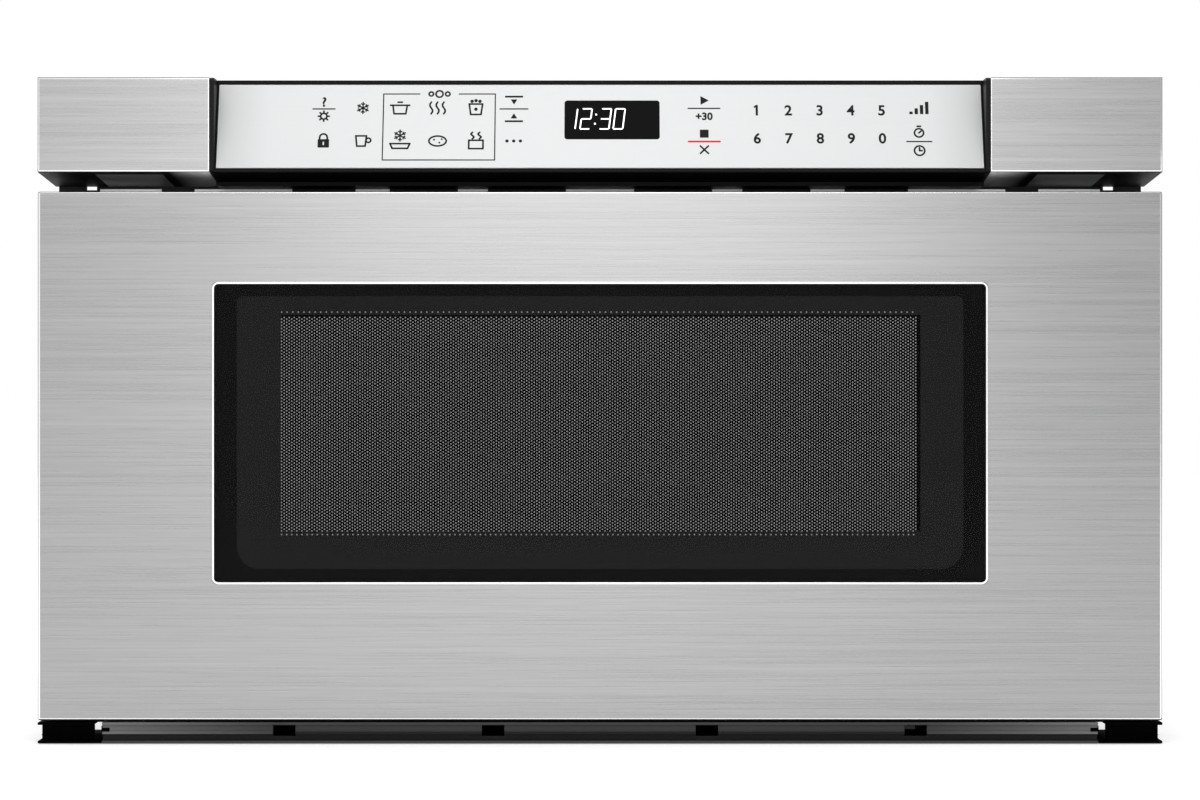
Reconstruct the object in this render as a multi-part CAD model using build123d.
from build123d import *
import math
import os

# Built-in microwave drawer: a steel oven body behind a mounting flange, and a drawer that slides out.
# X runs to the right, Y to the back and Z up. The origin is the middle of the underside.
# All lengths are in millimetres.

# ---- Whole object ------------------------------------------------------------------------------
WIDTH = 760.0
DEPTH = 672.0
HEIGHT = 450.0
FRONT_PROJECTION = 75.0  # front of the drawer to the back of the mounting flange
TOUCH_GAP = 0.3  # between faces of pieces that move past each other
BOOLEAN_MARGIN = 1.0  # how far a cutting solid runs past the face that it cuts

# ---- Case --------------------------------------------------------------------------------------
CONTROL_OVERHANG = 80.0  # how far the control strip stands above the body
FLANGE_OVERLAP = 102.0  # how far each side of the front stands past the body
CASE_SHEET = 1.2
CASE_LIP = 14.0  # folded edge of the side panels
FLANGE_SIDE_GAP = 2.0  # flange's edge to the side of the drawer front
FLANGE_SHEET = 2.0
FLANGE_STEP = 0.5  # the flange's back is stepped in by this where the body meets it
FLANGE_STEP_PLAY = 1.0
CABINET_HOLE_RADIUS = 2.5
CABINET_HOLE_EDGE = 43.0  # flange's side edge to the cabinet screws
CABINET_HOLE_LOW_Z = 60.0
CABINET_HOLE_DROP = 40.0  # upper cabinet screws below the body's top
SIGHT_NOTCH_WIDTH = 12.0  # corner notches in the flange's lower edge
SIGHT_NOTCH_HEIGHT = 7.0
SIGHT_NOTCH_EDGE = 29.0  # middle of a notch from the side of the object
SLIT_EDGE = 25.0  # small slit in the flange, seen just under each trim block
SLIT_WIDTH = 7.0
SLIT_HEIGHT = 2.4
FLANGE_PAD_PROUD = 2.0  # embossed pads on the flange, in the slot above the drawer
FLANGE_PAD_HEIGHT = 6.0
CENTRE_PAD_WIDTH = 47.6
MIDDLE_PADS = ((88.8, 21.0), (158.8, 23.8))  # place from the middle of the object, and width
SIDE_PADS = ((131.0, 68.0), (52.5, 43.0))  # place from the side of the object, and width
VENT_SLOT_HEIGHT = 4.0
VENT_SLOT_PITCH = 10.0
BASE_VENT_LENGTH = 90.0
BASE_VENT_COUNT = 7

# ---- Fasteners ---------------------------------------------------------------------------------
SCREW_HEAD_RADIUS = 4.0
SCREW_HEAD_HEIGHT = 1.5
SCREW_RADIUS = 1.8
SCREW_HOLE_PLAY = 0.1
SCREW_EDGE = 7.0  # from a panel's edge to its row of screws

# ---- Oven cavity -------------------------------------------------------------------------------
CAVITY_FLOOR_Z = 96.0
SIDE_BAY = 45.8  # side panel to the inside of the cavity
ROOF_BAY = 54.0  # top of the body to the inside of the cavity
REAR_BAY = 131.8  # rear panel to the inside of the cavity
CAVITY_SHEET = 1.0
WELL_RADIUS = 105.0
WELL_DEPTH = 26.0
COVER_LAP = 8.0
COVER_THICKNESS = 2.0
GUIDE_WIDTH = 92.0
GUIDE_HEIGHT = 40.0
GUIDE_FRONT_REACH = 60.0
GUIDE_PORT_RADIUS = 12.0
AIR_HOLE_RADIUS = 2.5
AIR_HOLE_PITCH = 9.0
AIR_HOLE_ROWS = 4
AIR_HOLE_COLUMNS = 7

# ---- Antenna and its motor ---------------------------------------------------------------------
ANTENNA_RADIUS = 82.0
ANTENNA_SHEET = 2.0
ANTENNA_LIFT = 11.0  # blade above the floor of the well
ANTENNA_HUB_RADIUS = 9.0
ANTENNA_HUB_HEIGHT = 10.0
SHAFT_RADIUS = 3.0
SHAFT_PLAY = 0.05
SHAFT_SEAT = 12.0
STIRRER_MOTOR_RADIUS = 25.0
STIRRER_MOTOR_HEIGHT = 20.0

# ---- Power parts behind the cavity -------------------------------------------------------------
REAR_PART_GAP = 6.0  # rear wall of the cavity to the parts behind it
MAGNETRON_WIDTH = 94.0
MAGNETRON_DEPTH = 76.0
MAGNETRON_FIN_COUNT = 6
MAGNETRON_FIN_PITCH = 12.0
MAGNETRON_FIN_SHEET = 1.5
MAGNETRON_FRAME_SHEET = 2.0
MAGNETRON_ANODE_RADIUS = 20.0
MAGNETRON_PROBE_RADIUS = 8.0
MAGNETRON_PROBE_LENGTH = 24.0
FILTER_BOX_WIDTH = 60.0
FILTER_BOX_HEIGHT = 30.0
TRANSFORMER_SIDE_GAP = 50.8
TRANSFORMER_WIDTH = 92.0
TRANSFORMER_DEPTH = 70.0
TRANSFORMER_HEIGHT = 78.0
WINDING_PROUD = 16.0
WINDING_MARGIN = 14.0
CAPACITOR_GAP = 8.0  # between the capacitor and the transformer
CAPACITOR_WIDTH = 32.0
CAPACITOR_DEPTH = 54.0
CAPACITOR_HEIGHT = 80.0
TERMINAL_WIDTH = 6.0
TERMINAL_HEIGHT = 8.0
FILTER_BOARD_SIDE_GAP = 18.8
FILTER_BOARD_WIDTH = 96.0
FILTER_BOARD_DEPTH = 100.0
FILTER_BOARD_LIFT = 12.0
BOARD_SHEET = 1.6
CUTOUT_RADIUS = 8.0
CUTOUT_HEIGHT = 9.0
CUTOUT_X = -60.0
CUTOUT_DROP = 40.0  # below the cavity ceiling

# ---- Fan ---------------------------------------------------------------------------------------
FAN_SIDE_GAP = 95.8
FAN_TOP_GAP = 64.0
FAN_FRAME = 122.0
FAN_FRAME_DEPTH = 38.0
FAN_BORE_RADIUS = 56.0
FAN_BLADE_RADIUS = 53.0
FAN_HUB_RADIUS = 15.0
FAN_HUB_DEPTH = 20.0
FAN_BLADE_COUNT = 7
FAN_BLADE_CHORD = 24.0
FAN_BLADE_SHEET = 1.8
FAN_BLADE_PITCH = 38.0
FAN_ARM_WIDTH = 8.0
FAN_ARM_SHEET = 3.0
FAN_ARM_COUNT = 4
FAN_MOTOR_RADIUS = 21.0
FAN_MOTOR_DEPTH = 26.0
FAN_HUB_GAP = 4.0
GRILLE_SLOT_COUNT = 11

# ---- Exhaust duct, lamp and sensor -------------------------------------------------------------
DUCT_SIDE_GAP = 66.8
DUCT_WIDTH = 120.0
DUCT_HEIGHT = 44.0
DUCT_FRONT_REACH = 80.0  # ahead of the middle of the cavity
LAMP_SIDE_GAP = 110.8
LAMP_SOCKET = 32.0
LAMP_SOCKET_HEIGHT = 30.0
LAMP_BULB_RADIUS = 9.0
LAMP_BULB_DROP = 12.0
LAMP_HOLE_PLAY = 1.0
SENSOR_WIDTH = 14.0
SENSOR_LENGTH = 22.0
SENSOR_HEIGHT = 18.0

# ---- Cord entry --------------------------------------------------------------------------------
GLAND_SIDE_GAP = 36.8
GLAND_Z = 60.0
GLAND_RADIUS = 10.0
GLAND_PLAY = 0.1
GLAND_BORE_RADIUS = 4.5
GLAND_LIP = 2.0
GLAND_LIP_WIDTH = 3.0
GLAND_LENGTH = 14.0

# ---- Trim blocks and control strip -------------------------------------------------------------
TRIM_WIDTH = 115.8
TRIM_HEIGHT = 64.0
TRIM_SHEET = 1.0
TRIM_EDGE_RADIUS = 0.8
RETURN_DROP = 5.0  # the trim's underside falls this much on its way back to the flange
BRACKET_WIDTH = 46.0
BRACKET_SHEET = 1.5
BRACKET_FRONT_GAP = 12.0
BRACKET_OUTER_GAP = 37.0
END_CAP_WIDTH = 3.4
END_CAP_RADIUS = 3.0
HOUSING_WALL = 2.5
HOUSING_BOTTOM_LIP = 2.6
HOUSING_TOP_LIP = 2.7
HOUSING_STEP_BACK = 39.0  # the underside steps down this far behind the front
HOUSING_STEP_DROP = 2.8
HOUSING_SLOPE_DROP = 4.0
FASCIA_SHEET = 3.0
FASCIA_LEAN = 18.8  # degrees from upright, top edge back
FASCIA_END_GAP = 1.1
FASCIA_SINK = 0.5
LENS_X = 8.2
LENS_RISE = 35.6  # middle of the lens above the fascia's lower edge, along the slope
LENS_WIDTH = 64.7
LENS_HEIGHT = 28.8
LENS_RADIUS = 2.0
LENS_SHEET = 2.4
MODULE_MARGIN = 3.0
MODULE_DEPTH = 9.0
CONTROL_BOARD_WIDTH = 400.0
CONTROL_BOARD_HEIGHT = 44.0
BOSS_RADIUS = 3.0
BOSS_INSET = 6.0
CHIP_SIZES = ((-150.0, 24.0), (-90.0, 16.0), (-40.0, 30.0), (70.0, 18.0), (130.0, 26.0))
CHIP_HEIGHT = 4.0

# ---- Bottom trim -------------------------------------------------------------------------------
BOTTOM_TRIM_HEIGHT = 14.2
BOTTOM_LIP = 1.8
BOTTOM_UPPER_SETBACK = 2.0
BOTTOM_LEDGE_SETBACK = 1.0
BOTTOM_LOWER_SETBACK = 5.0
BOTTOM_LEDGE_LOW = 6.0
BOTTOM_LEDGE_HIGH = 8.2
BOTTOM_WEB = 2.0
END_BLOCK_WIDTH = 38.0
END_BLOCK_GAP = 5.4
END_BLOCK_SIDE_SETBACK = 2.4
END_LIP_DEPTH = 28.0  # the lower lip's tongue, which runs on to the middle part
TRIM_NOTCH_WIDTH = 5.0  # small notch in each end of the middle part
TRIM_NOTCH_Z = (7.7, 10.4)
END_LEDGE_Z = 5.4
END_LEDGE_SHEET = 0.8
SLOT_WIDTH = 15.2
SLOT_LOW_Z = 4.6
SLOT_CENTRES = (72.3, 213.5)

# ---- Drawer front ------------------------------------------------------------------------------
SLOT_ABOVE_DRAWER = 13.2
SLOT_BELOW_DRAWER = 1.3
SKIN_SHEET = 1.0
SKIN_RETURN = 48.0
SKIN_RIM = 2.0  # depth of the skin's own edge, ahead of its four return strips
SKIN_EDGE_RADIUS = 1.2
WINDOW_SIDE_MARGIN = 119.2  # each margin is from the edge of the drawer front to the glass
WINDOW_TOP_MARGIN = 62.4
WINDOW_BOTTOM_MARGIN = 93.3
WINDOW_RADIUS = 3.0
WINDOW_TRIM = 1.4
WINDOW_TRIM_DEPTH = 2.4
GLASS_SINK = 0.3
GLASS_SHEET = 4.0
SCREEN_SIDE_MARGIN = 7.8  # edge of the glass to the edge of the screen
SCREEN_END_MARGIN = 3.8
SCREEN_SHEET = 0.8
TUNNEL_SIDE_MARGIN = 43.8  # edge of the glass to the tunnel behind the screen
TUNNEL_TOP_MARGIN = 17.2
TUNNEL_BOTTOM_MARGIN = 30.4
BACKING_SHEET = 2.5
BACKING_MARGIN = 4.0  # backing plate's edge to the skin's returns
DOOR_SIDE_MARGIN = 88.0  # edge of the drawer front to the deep frame behind it
DOOR_END_MARGIN = 8.5
DOOR_WALL = 2.5
SEAL_SPACE = 2.0  # back of the choke cover to the front of the flange
CHOKE_SHEET = 2.7
SEAL_WIDTH = 8.0
SEAL_MARGIN = 4.0  # cavity opening to the seal's inner edge
DOOR_SCREW_MARGIN = 12.0

# ---- Tray --------------------------------------------------------------------------------------
TRAY_SIDE_GAP = 9.5  # tray to the cavity's side walls
TRAY_HEADROOM = 26.0
TRAY_REAR_GAP = 30.0
TRAY_CORNER_RADIUS = 12.0
TRAY_WALL = 3.0
TRAY_FLOOR_SHEET = 3.0
TRAY_RUNNING_GAP = 7.0  # tray over the cavity floor
TRAY_RIM = 4.5
TRAY_RIM_SHEET = 3.0
TRAY_GLASS_SHEET = 6.0
TRAY_GLASS_PLAY = 0.5
TRAY_LEDGE = 20.0

# ---- Slides ------------------------------------------------------------------------------------
RAIL_FRONT_GAP = 1.5  # flange to the front ends of the rails
RAIL_REAR_GAP = 40.5  # back ends of the rails to the back of the cavity
RAIL_Z = 75.0
RAIL_HEIGHT = 45.0
RAIL_WALL = 1.5
RAIL_DEPTH = 14.0
RAIL_LIP = 4.0
INNER_RAIL_PROUD = 2.0  # inner rail's face past the outer rail's lips
INNER_STRIP_HEIGHT = 26.0
ARM_SHEET = 2.5
ARM_HEIGHT = 40.0
ARM_FOOT = 14.0
RAIL_SLOT_PLAY = 1.5

# ---- Drive -------------------------------------------------------------------------------------
MODULE = 1.5
PINION_TEETH = 16
PRESSURE_ANGLE = 20.0
ADDENDUM = 0.9  # of one module
DEDENDUM = 1.2  # of one module
TOOTH_BACKLASH = 0.25
RACK_PITCH_Z = 72.0
RACK_TOP_Z = 84.0
RACK_WIDTH = 8.0
RACK_END_GAP = 6.0
PINION_Y_GAP = 32.0  # flange to the pinion's axis
PINION_WIDTH = 7.0
GEARMOTOR_RADIUS = 20.0
GEARMOTOR_LENGTH = 52.0
DRIVE_BRACKET_SHEET = 2.5
DRIVE_BRACKET_DEPTH = 50.0
DRIVE_BRACKET_TOP = 24.0  # above the pinion's axis
DRIVE_FOOT = 34.0
PINION_BRACKET_GAP = 30.0
BRACKET_HOLE_PLAY = 3.0

# ---- Latch -------------------------------------------------------------------------------------
LATCH_SIDE_GAP = 24.8  # side panel to the middle of the hook
LATCH_RISE = 22.0  # above the cavity
HOOK_SHEET = 4.0
HOOK_HEIGHT = 10.0
HOOK_REACH = 16.0  # past the back of the flange
HOOK_HOLE_PLAY = 2.0
SWITCH_WIDTH = 14.0
SWITCH_HEIGHT = 22.0
SWITCH_DEPTH = 20.0
SWITCH_GAP = 0.5

# ---- Main planes -------------------------------------------------------------------------------
FRONT_Y = -DEPTH / 2
BACK_Y = DEPTH / 2
FLANGE_BACK_Y = FRONT_Y + FRONT_PROJECTION
FLANGE_FRONT_Y = FLANGE_BACK_Y - FLANGE_SHEET
BODY_FRONT_Y = FLANGE_BACK_Y - FLANGE_STEP
REAR_OUT_Y = BACK_Y - GLAND_LIP
REAR_IN_Y = REAR_OUT_Y - CASE_SHEET
BODY_HEIGHT = HEIGHT - CONTROL_OVERHANG
SIDE_OUT_X = WIDTH / 2 - FLANGE_OVERLAP
SIDE_IN_X = SIDE_OUT_X - CASE_SHEET
TOP_IN_Z = BODY_HEIGHT - CASE_SHEET
CAVITY_BACK_Y = REAR_IN_Y - REAR_BAY
CAVITY_MID_Y = (BODY_FRONT_Y + CAVITY_BACK_Y) / 2
CAVITY_TOP_Z = BODY_HEIGHT - ROOF_BAY
CAVITY_ROOF_Z = CAVITY_TOP_Z + CAVITY_SHEET
CAVITY_HALF = SIDE_IN_X - SIDE_BAY
CAVITY_UNDERSIDE_Z = CAVITY_FLOOR_Z - CAVITY_SHEET
WELL_FLOOR_Z = CAVITY_UNDERSIDE_Z - WELL_DEPTH
GUIDE_TOP_Z = WELL_FLOOR_Z - CAVITY_SHEET
GUIDE_BOTTOM_Z = GUIDE_TOP_Z - GUIDE_HEIGHT
REAR_BAY_Y = CAVITY_BACK_Y + CAVITY_SHEET + REAR_PART_GAP
MAGNETRON_Y = REAR_BAY_Y + MAGNETRON_DEPTH / 2
SKIN_BACK_Y = FRONT_Y + SKIN_SHEET
CHOKE_BACK_Y = FLANGE_FRONT_Y - SEAL_SPACE
CHOKE_FRONT_Y = CHOKE_BACK_Y - CHOKE_SHEET
TRIM_BOTTOM_Z = HEIGHT - TRIM_HEIGHT
TRIM_INNER_X = WIDTH / 2 - TRIM_WIDTH
HOUSING_HALF = TRIM_INNER_X - END_CAP_WIDTH
DRAWER_BOTTOM_Z = BOTTOM_TRIM_HEIGHT + SLOT_BELOW_DRAWER
DRAWER_TOP_Z = TRIM_BOTTOM_Z - SLOT_ABOVE_DRAWER
DRAWER_HEIGHT = DRAWER_TOP_Z - DRAWER_BOTTOM_Z
DRAWER_MID_Z = (DRAWER_BOTTOM_Z + DRAWER_TOP_Z) / 2
DOOR_WIDTH = WIDTH - 2 * DOOR_SIDE_MARGIN
DOOR_HEIGHT = DRAWER_HEIGHT - 2 * DOOR_END_MARGIN
WINDOW_WIDTH = WIDTH - 2 * WINDOW_SIDE_MARGIN
WINDOW_HEIGHT = DRAWER_HEIGHT - WINDOW_TOP_MARGIN - WINDOW_BOTTOM_MARGIN
WINDOW_MID_Z = DRAWER_MID_Z + (WINDOW_BOTTOM_MARGIN - WINDOW_TOP_MARGIN) / 2
TUNNEL_WIDTH = WINDOW_WIDTH - 2 * TUNNEL_SIDE_MARGIN
TUNNEL_HEIGHT = WINDOW_HEIGHT - TUNNEL_TOP_MARGIN - TUNNEL_BOTTOM_MARGIN
TUNNEL_MID_Z = WINDOW_MID_Z + (TUNNEL_BOTTOM_MARGIN - TUNNEL_TOP_MARGIN) / 2
TRAY_BOTTOM_Z = CAVITY_FLOOR_Z + TRAY_RUNNING_GAP
TRAY_SEAT_Z = TRAY_BOTTOM_Z + TRAY_FLOOR_SHEET
TRAY_TOP_Z = CAVITY_TOP_Z - TRAY_HEADROOM
TRAY_OUT_X = CAVITY_HALF - TRAY_SIDE_GAP
TRAY_IN_X = TRAY_OUT_X - TRAY_WALL
TRAY_BACK_OUT_Y = CAVITY_BACK_Y - TRAY_REAR_GAP
TRAY_BACK_IN_Y = TRAY_BACK_OUT_Y - TRAY_WALL
RAIL_FRONT_Y = BODY_FRONT_Y + RAIL_FRONT_GAP
RAIL_BACK_Y = CAVITY_BACK_Y - RAIL_REAR_GAP
TRANSFORMER_X = SIDE_IN_X - TRANSFORMER_SIDE_GAP - TRANSFORMER_WIDTH / 2
CAPACITOR_X = TRANSFORMER_X - TRANSFORMER_WIDTH / 2 - CAPACITOR_GAP - CAPACITOR_WIDTH / 2
FILTER_BOARD_X = FILTER_BOARD_SIDE_GAP + FILTER_BOARD_WIDTH / 2 - SIDE_IN_X
FAN_X = FAN_SIDE_GAP + FAN_FRAME / 2 - SIDE_IN_X
FAN_Z = BODY_HEIGHT - FAN_TOP_GAP - FAN_FRAME / 2
DUCT_X = SIDE_IN_X - DUCT_SIDE_GAP - DUCT_WIDTH / 2
LAMP_X = LAMP_SIDE_GAP + LAMP_SOCKET / 2 - SIDE_IN_X
GLAND_X = GLAND_SIDE_GAP + GLAND_RADIUS - SIDE_IN_X
LATCH_X = SIDE_IN_X - LATCH_SIDE_GAP
LATCH_Z = CAVITY_TOP_Z + LATCH_RISE
INNER_RAIL_FACE = RAIL_DEPTH + INNER_RAIL_PROUD
ARM_OUT_X = SIDE_IN_X - INNER_RAIL_FACE
ARM_IN_X = ARM_OUT_X - ARM_SHEET
PINION_RADIUS = MODULE * PINION_TEETH / 2
PINION_Y = BODY_FRONT_Y + PINION_Y_GAP
PINION_Z = RACK_PITCH_Z - PINION_RADIUS
RACK_PITCH = math.pi * MODULE


# ---- Solids that the pieces are made of --------------------------------------------------------
def block(x, y, z):
    """A box; each argument is a (low, high) pair."""
    size = [high - low for low, high in (x, y, z)]
    middle = [(low + high) / 2 for low, high in (x, y, z)]
    return Pos(*middle) * Box(*size)


def span(middle, size):
    return (middle - size / 2, middle + size / 2)


def rod_x(x, y, z, radius):
    return Pos((x[0] + x[1]) / 2, y, z) * Rot(0, 90, 0) * Cylinder(radius, x[1] - x[0])


def rod_y(x, y, z, radius):
    return Pos(x, (y[0] + y[1]) / 2, z) * Rot(90, 0, 0) * Cylinder(radius, y[1] - y[0])


def rod_z(x, y, z, radius):
    return Pos(x, y, (z[0] + z[1]) / 2) * Cylinder(radius, z[1] - z[0])


def prism_x(outline, x):
    """An outline of (y, z) points carried from x[0] to x[1]."""
    face = make_face(Polyline(*outline, close=True))
    return extrude(Plane.YZ.offset(x[0]) * face, x[1] - x[0])


def front_plane(y):
    """Looks to the front from depth y: local x is X and local y is Z."""
    return Plane(origin=(0, y, 0), x_dir=(1, 0, 0), z_dir=(0, -1, 0))


def rounded_plate(width, height, mid_z, y, radius, mid_x=0.0):
    """A plate facing the front, its corners rounded."""
    face = Pos(mid_x, mid_z) * RectangleRounded(width, height, radius)
    return extrude(front_plane(y[1]) * face, y[1] - y[0])


def mirrored(shape):
    return mirror(shape, about=Plane.YZ)


def pair(shape):
    """The right-hand solid and its mirror image, as two separate solids."""
    return Compound(children=[*shape.solids(), *mirrored(shape).solids()])


def group(shapes):
    return Compound(children=[solid for shape in shapes for solid in shape.solids()])


def overrun(limits):
    return (limits[0] - BOOLEAN_MARGIN, limits[1] + BOOLEAN_MARGIN)


def evenly(low, high, count):
    return [low + (high - low) * index / (count - 1) for index in range(count)]


def edges_at(edges, y):
    """The edges that lie in the plane at depth y."""
    return edges.filter_by_position(Axis.Y, y - TOUCH_GAP, y + TOUCH_GAP)


def near_front(edges):
    return edges_at(edges, FRONT_Y)


# ---- Screws ------------------------------------------------------------------------------------
AXIS_RODS = {"x": rod_x, "y": rod_y, "z": rod_z}


def screw_part(axis, place, along, radius):
    """A cylinder on an axis through place, covering the (low, high) stretch `along` of that axis."""
    x, y, z = place
    where = {"x": (along, y, z), "y": (x, along, z), "z": (x, y, along)}[axis]
    return AXIS_RODS[axis](*where, radius)


def screw(axis, place, face, outward, grip):
    """A screw whose head sits on `face` and whose shank goes the other way by `grip`."""
    head_end = face + outward * SCREW_HEAD_HEIGHT
    tip = face - outward * grip
    head = screw_part(axis, place, sorted((face, head_end)), SCREW_HEAD_RADIUS)
    shank = screw_part(axis, place, sorted((face, tip)), SCREW_RADIUS)
    return head + shank


def screw_hole(axis, place, face, outward, grip):
    ends = (face + outward * BOOLEAN_MARGIN, face - outward * (grip + BOOLEAN_MARGIN))
    return screw_part(axis, place, sorted(ends), SCREW_RADIUS + SCREW_HOLE_PLAY)


SHEETS_GRIP = 2 * CASE_SHEET
REAR_SCREW_X = SIDE_OUT_X - SCREW_EDGE
SIDE_SCREW_Y = evenly(BODY_FRONT_Y + 3 * SCREW_EDGE, REAR_IN_Y - 3 * SCREW_EDGE, 4)
rear_screws = [("y", (side * REAR_SCREW_X, 0, z), REAR_OUT_Y, 1, SHEETS_GRIP)
               for side in (-1, 1)
               for z in evenly(4 * SCREW_EDGE, BODY_HEIGHT - 4 * SCREW_EDGE, 4)]
top_screws = [("z", (side * REAR_SCREW_X, y, 0), BODY_HEIGHT, 1, SHEETS_GRIP)
              for side in (-1, 1)
              for y in SIDE_SCREW_Y]


# ---- Case --------------------------------------------------------------------------------------
def base_pan():
    pan = block((-SIDE_OUT_X, SIDE_OUT_X), (BODY_FRONT_Y, REAR_IN_Y), (0, CASE_SHEET))
    slots = []
    for row in range(BASE_VENT_COUNT):
        y = REAR_BAY_Y + VENT_SLOT_PITCH * (row + 1)
        slots.append(block(span(FAN_X, BASE_VENT_LENGTH), span(y, VENT_SLOT_HEIGHT),
                           overrun((0, CASE_SHEET))))
    return pan - slots


def side_panel():
    """Right-hand panel: a wall with a folded lip along the bottom, the top and the back."""
    long = (BODY_FRONT_Y, REAR_IN_Y)
    tall = (CASE_SHEET, TOP_IN_Z)
    lip_x = (SIDE_IN_X - CASE_LIP, SIDE_OUT_X)
    wall = block((SIDE_IN_X, SIDE_OUT_X), long, tall)
    bottom = block(lip_x, long, (CASE_SHEET, 2 * CASE_SHEET))
    top = block(lip_x, long, (TOP_IN_Z - CASE_SHEET, TOP_IN_Z))
    back = block(lip_x, (REAR_IN_Y - CASE_SHEET, REAR_IN_Y), tall)
    panel = wall + bottom + top + back
    holes = [screw_hole(*place) for place in rear_screws + top_screws if place[1][0] > 0]
    return panel - holes


def top_cover():
    cover = block((-SIDE_OUT_X, SIDE_OUT_X), (BODY_FRONT_Y, REAR_IN_Y), (TOP_IN_Z, BODY_HEIGHT))
    return cover - [screw_hole(*place) for place in top_screws]


def fan_grille_slots():
    slots = []
    for row in range(GRILLE_SLOT_COUNT):
        rise = (row - (GRILLE_SLOT_COUNT - 1) / 2) * VENT_SLOT_PITCH
        if abs(rise) + VENT_SLOT_HEIGHT < FAN_BLADE_RADIUS:
            chord = 2 * math.sqrt(FAN_BLADE_RADIUS**2 - (abs(rise) + VENT_SLOT_HEIGHT) ** 2)
            slots.append(block(span(FAN_X, chord), overrun((REAR_IN_Y, REAR_OUT_Y)),
                               span(FAN_Z + rise, VENT_SLOT_HEIGHT)))
    return slots


def duct_outlet_slots():
    low = CAVITY_ROOF_Z + VENT_SLOT_HEIGHT
    count = int((DUCT_HEIGHT - 2 * VENT_SLOT_HEIGHT) // VENT_SLOT_PITCH) + 1
    width = DUCT_WIDTH - 4 * VENT_SLOT_HEIGHT
    return [block(span(DUCT_X, width), overrun((REAR_IN_Y, REAR_OUT_Y)),
                  (low + VENT_SLOT_PITCH * row, low + VENT_SLOT_PITCH * row + VENT_SLOT_HEIGHT))
            for row in range(count)]


def rear_panel():
    panel = block((-SIDE_OUT_X, SIDE_OUT_X), (REAR_IN_Y, REAR_OUT_Y), (0, BODY_HEIGHT))
    gland_hole = rod_y(GLAND_X, overrun((REAR_IN_Y, REAR_OUT_Y)), GLAND_Z, GLAND_RADIUS + GLAND_PLAY)
    holes = [screw_hole(*place) for place in rear_screws]
    return panel - fan_grille_slots() - duct_outlet_slots() - gland_hole - holes


RAIL_SLOT_X = (ARM_IN_X - RACK_WIDTH - RAIL_SLOT_PLAY, SIDE_IN_X - RAIL_WALL + RAIL_SLOT_PLAY / 2)
RAIL_SLOT_HEIGHT = RAIL_HEIGHT + 2 * RAIL_SLOT_PLAY


def front_frame():
    thick = (FLANGE_FRONT_Y, FLANGE_BACK_Y)
    cut = overrun(thick)
    pad_top = housing_underside()[0][1]
    half = WIDTH / 2 - FLANGE_SIDE_GAP
    plate = block((-half, half), thick, (0, HEIGHT))
    pad_spans = [span(0, CENTRE_PAD_WIDTH)]
    for side in (-1, 1):
        pad_spans += [span(side * place, width) for place, width in MIDDLE_PADS]
        pad_spans += [span(side * (WIDTH / 2 - place), width) for place, width in SIDE_PADS]
    pad_y = (FLANGE_FRONT_Y - FLANGE_PAD_PROUD, FLANGE_FRONT_Y)
    pads = [block(across, pad_y, (pad_top - FLANGE_PAD_HEIGHT, pad_top)) for across in pad_spans]
    step_half = SIDE_OUT_X + FLANGE_STEP_PLAY
    cuts = [block((-CAVITY_HALF, CAVITY_HALF), cut, (CAVITY_FLOOR_Z, CAVITY_TOP_Z)),
            block((-step_half, step_half), (BODY_FRONT_Y, cut[1]),
                  (-BOOLEAN_MARGIN, BODY_HEIGHT + FLANGE_STEP_PLAY))]
    for side in (-1, 1):
        slot_x = sorted(side * x for x in RAIL_SLOT_X)
        cuts.append(block(slot_x, cut, span(RAIL_Z, RAIL_SLOT_HEIGHT)))
        cuts.append(block(span(side * LATCH_X, HOOK_SHEET + 2 * HOOK_HOLE_PLAY), cut,
                          span(LATCH_Z, HOOK_HEIGHT + 2 * HOOK_HOLE_PLAY)))
        cuts.append(block(span(side * (WIDTH / 2 - SIGHT_NOTCH_EDGE), SIGHT_NOTCH_WIDTH), cut,
                          (-BOOLEAN_MARGIN, SIGHT_NOTCH_HEIGHT)))
        slit_top = TRIM_BOTTOM_Z - RETURN_DROP
        cuts.append(block(span(side * (WIDTH / 2 - SLIT_EDGE), SLIT_WIDTH), cut,
                          (slit_top - SLIT_HEIGHT, slit_top)))
        for z in (CABINET_HOLE_LOW_Z, BODY_HEIGHT - CABINET_HOLE_DROP):
            cuts.append(rod_y(side * (half - CABINET_HOLE_EDGE), cut, z, CABINET_HOLE_RADIUS))
        for middle in SLOT_CENTRES:
            cuts.append(block(span(side * middle, SLOT_WIDTH), cut,
                              (BOTTOM_LIP, BOTTOM_TRIM_HEIGHT - BOTTOM_LIP)))
    return plate + pads - cuts


def chassis_screws():
    return group([screw(*place) for place in rear_screws + top_screws])


def cord_gland():
    lip = rod_y(GLAND_X, (REAR_OUT_Y, BACK_Y), GLAND_Z, GLAND_RADIUS + GLAND_LIP_WIDTH)
    barrel = rod_y(GLAND_X, (BACK_Y - GLAND_LENGTH, REAR_OUT_Y), GLAND_Z, GLAND_RADIUS)
    bore = rod_y(GLAND_X, overrun((BACK_Y - GLAND_LENGTH, BACK_Y)), GLAND_Z, GLAND_BORE_RADIUS)
    return lip + barrel - bore


# ---- Oven cavity -------------------------------------------------------------------------------
CAVITY_OUT = (-CAVITY_HALF - CAVITY_SHEET, CAVITY_HALF + CAVITY_SHEET)
CAVITY_LONG = (BODY_FRONT_Y, CAVITY_BACK_Y)


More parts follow.
